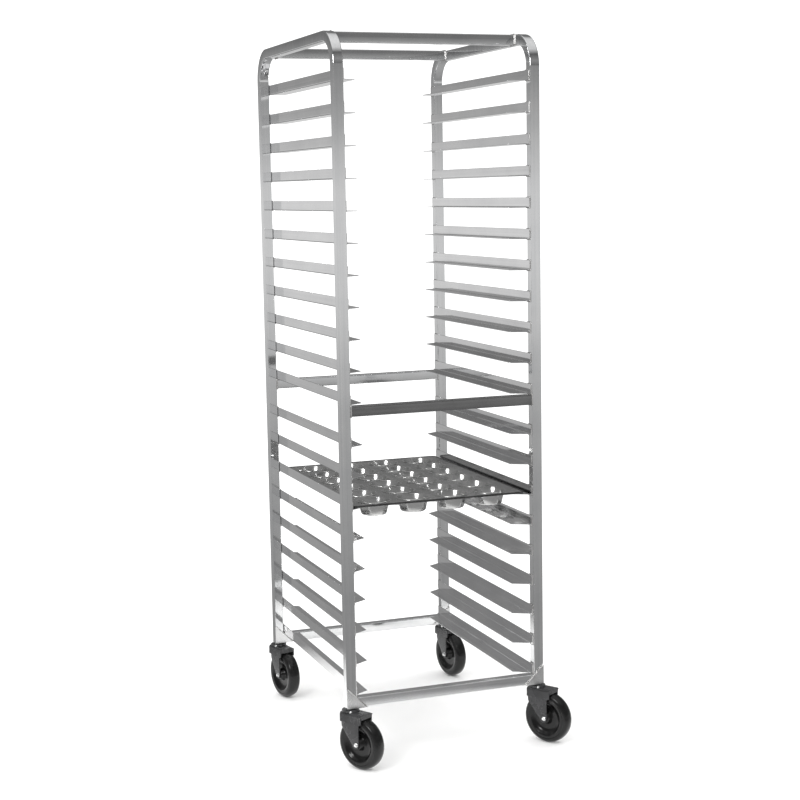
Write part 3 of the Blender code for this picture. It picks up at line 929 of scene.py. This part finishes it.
# %% Sheet and rolled edge
def make_sheet():
    size = pan_high - pan_low
    centre = (PAN_MIDDLE.x, PAN_MIDDLE.y, PAN_TOP - 0.0018)
    piece = rounded_plane(size.x - 2 * ROLL, size.y - 2 * ROLL, centre, 0.012, 6)
    extrude(z=0.0008)
    leave()
    finish_mesh(piece, "muffin_pan_sheet", 30)
    cutters = []
    for centre, _ in cup_centres():
        bpy.ops.object.select_all(action="DESELECT")
        bpy.ops.mesh.primitive_cylinder_add(vertices=40, radius=MOUTH - 0.0002, depth=0.02, location=centre)
        bpy.ops.object.transform_apply(location=True, rotation=True, scale=True)
        cutters.append(bpy.context.object)
    holes = join(cutters, "holes")
    apply_modifier(piece, "BOOLEAN", operation="DIFFERENCE", solver="EXACT", object=holes)
    drop(holes)
    return finish_mesh(piece, "muffin_pan_sheet", 30)


def make_roll():
    """The rolled edge, swept round the sheet."""
    half_x = (pan_high.x - pan_low.x) / 2 - ROLL
    half_y = (pan_high.y - pan_low.y) / 2 - ROLL
    corner = 0.012
    curve = bpy.data.curves.new("roll", "CURVE")
    curve.dimensions = "3D"
    curve.bevel_depth = ROLL
    curve.bevel_resolution = 3
    line = curve.splines.new("POLY")
    line.use_cyclic_u = True
    places = []
    for quarter, (sx, sy) in enumerate(((1, 1), (-1, 1), (-1, -1), (1, -1))):
        for step in range(7):
            turn = (quarter + step / 6) * pi / 2
            x = PAN_MIDDLE.x + sx * (half_x - corner) + corner * cos(turn)
            y = PAN_MIDDLE.y + sy * (half_y - corner) + corner * sin(turn)
            places.append((x, y, PAN_TOP - ROLL + 0.0002, 1))
    line.points.add(len(places) - 1)
    for point, place in zip(line.points, places):
        point.co = place
    roll = bpy.data.objects.new("roll", curve)
    bpy.context.scene.collection.objects.link(roll)
    take(roll)
    bpy.ops.object.convert(target="MESH")
    edge = finish_mesh(bpy.context.object, "muffin_pan_rolled_edge", 60)
    # The rolled edge takes the metal painted nearly black, painted shade.
    edge.data.materials.append(pan_edge_painted_shade_metal)
    return edge


sheet = make_sheet()
roll = make_roll()
print("pan sheet:", len(sheet.data.polygons), "faces, rolled edge:", len(roll.data.polygons))

# %% Cups
CUP_RINGS = [
    (MOUTH + 0.0026, -0.0012), (MOUTH + 0.0028, -0.0004), (MOUTH + 0.0022, 0.0003), (MOUTH + 0.0006, 0.0004),
    (MOUTH - 0.0006, -0.0002), (MOUTH - 0.0012, -0.0016), (MOUTH - 0.0050, -0.0160),
    (FLOOR_R + 0.0016, -CUP_DEPTH + 0.0050), (FLOOR_R - 0.0006, -CUP_DEPTH + 0.0016),
    (FLOOR_R - 0.0040, -CUP_DEPTH + 0.0002), (FLOOR_R * 0.5, -CUP_DEPTH),
]


def make_cup():
    """Rings of points, each extruded from the one before and resized, then closed at the floor."""
    radius, height = CUP_RINGS[0]
    bpy.ops.object.select_all(action="DESELECT")
    bpy.ops.mesh.primitive_circle_add(vertices=40, radius=radius, location=(0, 0, height))
    piece = bpy.context.object
    bpy.ops.object.transform_apply(location=True, rotation=True, scale=True)
    enter(piece)
    bpy.ops.mesh.select_mode(type="EDGE")
    bpy.ops.mesh.select_all(action="SELECT")
    for next_radius, next_height in CUP_RINGS[1:]:
        bpy.ops.mesh.extrude_edges_move(TRANSFORM_OT_translate={"value": (0, 0, next_height - height)})
        bpy.ops.transform.resize(value=(next_radius / radius, next_radius / radius, 1))
        radius, height = next_radius, next_height
    bpy.ops.mesh.edge_face_add()
    leave()
    finish_mesh(piece, "cup", 40)
    apply_modifier(piece, "SOLIDIFY", thickness=0.0007, offset=-1)
    return finish_mesh(piece, "cup", 40)


cup = make_cup()
# The cups take the metal painted lighter than the sheet, a painted highlight.
cup.data.materials.append(cup_painted_highlight_metal)
print("cup:", len(cup.data.polygons), "faces")
pan_pieces = [sheet, roll]
for centre, label in cup_centres():
    pan_pieces.append(copy_piece(cup, "muffin_cup_" + label, Matrix.Translation(centre)))
drop(cup)
# The sheet takes the metal painted dark, a painted dark reflection.
for piece in pan_pieces:
    if not piece.data.materials:
        piece.data.materials.append(pan_sheet_dark_reflection_metal)
    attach(piece, "muffin_pan")
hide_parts("muffin_pan")

# %% [markdown]
# ## Floor, light and camera
#
# Bright metal shows the room, so the room is what has to be lit. The light is a plain soft studio. The
# camera and soft light see plain white. The metal mirrors one ramp of greys from floor to ceiling, the
# same in every direction: light round the horizon, darker above and below it, and light again overhead.
# Such a split, by the kind of ray, keeps bright metal from melting into a white background. The floor is
# a small pale disc that fades into the white a little way out.


# %% World
# degrees above the level of the world's horizon, and how light the studio is there
STUDIO_TONES = [
    (-90, 0.45), (-30, 0.32), (-15, 0.28), (-8, 0.40), (-3, 0.66), (0, 0.68),
    (3, 0.36), (6, 0.16), (20, 0.28), (40, 0.12), (56, 0.7), (90, 0.95)]
PLAIN_WHITE = 1.4


def make_world():
    world = bpy.data.worlds.new("studio")
    bpy.context.scene.world = world
    world.use_nodes = True
    tree = world.node_tree
    tree.nodes.clear()
    place = add_node(tree, "TexCoord")
    parts = add_node(tree, "SeparateXYZ")
    tree.links.new(place.outputs["Generated"], parts.inputs[0])
    rise = add_node(tree, "Math", operation="ARCSINE")
    tree.links.new(parts.outputs["Z"], rise.inputs[0])
    height = add_node(tree, "MapRange")
    height.inputs["From Min"].default_value = -pi / 2
    height.inputs["From Max"].default_value = pi / 2
    tree.links.new(rise.outputs["Value"], height.inputs["Value"])
    walls = add_node(tree, "ValToRGB")
    set_ramp(walls, [((degree + 90) / 180, tone) for degree, tone in STUDIO_TONES])
    tree.links.new(height.outputs["Result"], walls.inputs["Fac"])
    mirrored = add_node(tree, "Background")
    tree.links.new(walls.outputs["Color"], mirrored.inputs["Color"])
    plain = add_node(tree, "Background")
    plain.inputs["Strength"].default_value = PLAIN_WHITE
    plain.inputs["Color"].default_value = (1, 1, 1, 1)
    ray = add_node(tree, "LightPath")
    choose = add_node(tree, "MixShader")
    tree.links.new(ray.outputs["Is Glossy Ray"], choose.inputs["Fac"])
    tree.links.new(plain.outputs["Background"], choose.inputs[1])
    tree.links.new(mirrored.outputs["Background"], choose.inputs[2])
    output = add_node(tree, "OutputWorld")
    tree.links.new(choose.outputs["Shader"], output.inputs["Surface"])


make_world()


# %% Floor
STUDIO_FLOOR_R = 1.0
FADE_START, FADE_END = 0.50, 0.86


def make_floor():
    bpy.ops.object.select_all(action="DESELECT")
    just_below = (0, 0, -0.0003)
    bpy.ops.mesh.primitive_circle_add(
        vertices=96, radius=STUDIO_FLOOR_R, fill_type="NGON", location=just_below)
    floor = bpy.context.object
    floor.name = "studio_floor"
    material = bpy.data.materials.new("pale_floor")
    material.use_nodes = True
    tree = material.node_tree
    shader = tree.nodes["Principled BSDF"]
    shader.inputs["Base Color"].default_value = (0.99, 0.99, 0.985, 1)
    shader.inputs["Roughness"].default_value = 0.7
    shader.inputs["Specular IOR Level"].default_value = 0.1
    place = add_node(tree, "TexCoord")
    distance = add_node(tree, "VectorMath", operation="LENGTH")
    fade = add_node(tree, "MapRange")
    fade.inputs["From Min"].default_value = FADE_START
    fade.inputs["From Max"].default_value = FADE_END
    fade.inputs["To Min"].default_value = 1.0
    fade.inputs["To Max"].default_value = 0.0
    tree.links.new(place.outputs["Object"], distance.inputs[0])
    tree.links.new(distance.outputs["Value"], fade.inputs["Value"])
    tree.links.new(fade.outputs["Result"], shader.inputs["Alpha"])
    floor.data.materials.append(material)


make_floor()


# %% [markdown]
# One soft lamp high on the left gives the casters and the edges of the tube a highlight. The camera
# stands a little above the middle of the rack and to its left, with a long lens.


# %% Light and camera
def add_lamp(name, place, aim, size, power):
    lamp = bpy.data.lights.new(name, "AREA")
    lamp.size = size
    lamp.energy = power
    holder = bpy.data.objects.new(name, lamp)
    bpy.context.scene.collection.objects.link(holder)
    holder.location = place
    holder.rotation_euler = (Vector(aim) - Vector(place)).to_track_quat("-Z", "Y").to_euler()


add_lamp("soft_left", (-2.6, -2.2, 2.6), (0, 0, 0.6), 1.2, 45)

CAMERA_PLACE = Vector((-1.4380, -3.9188, 1.3842))
YAW, PITCH, ROLL_TURN = radians(20.263), radians(7.341), radians(-1.009)
forward = Vector((sin(YAW) * cos(PITCH), cos(YAW) * cos(PITCH), -sin(PITCH)))
level = Vector((cos(YAW), -sin(YAW), 0))
upward = level.cross(forward)
right = cos(ROLL_TURN) * level + sin(ROLL_TURN) * upward
up = -sin(ROLL_TURN) * level + cos(ROLL_TURN) * upward
lens = bpy.data.cameras.new("camera")
lens.sensor_width = 36.0
lens.lens = 72.72
camera = bpy.data.objects.new("camera", lens)
bpy.context.scene.collection.objects.link(camera)
camera.matrix_world = Matrix.Translation(CAMERA_PLACE) @ Matrix((right, up, -forward)).transposed().to_4x4()
bpy.context.scene.camera = camera
bpy.context.scene.view_settings.view_transform = "Standard"
print("camera at", [round(v, 3) for v in camera.location])
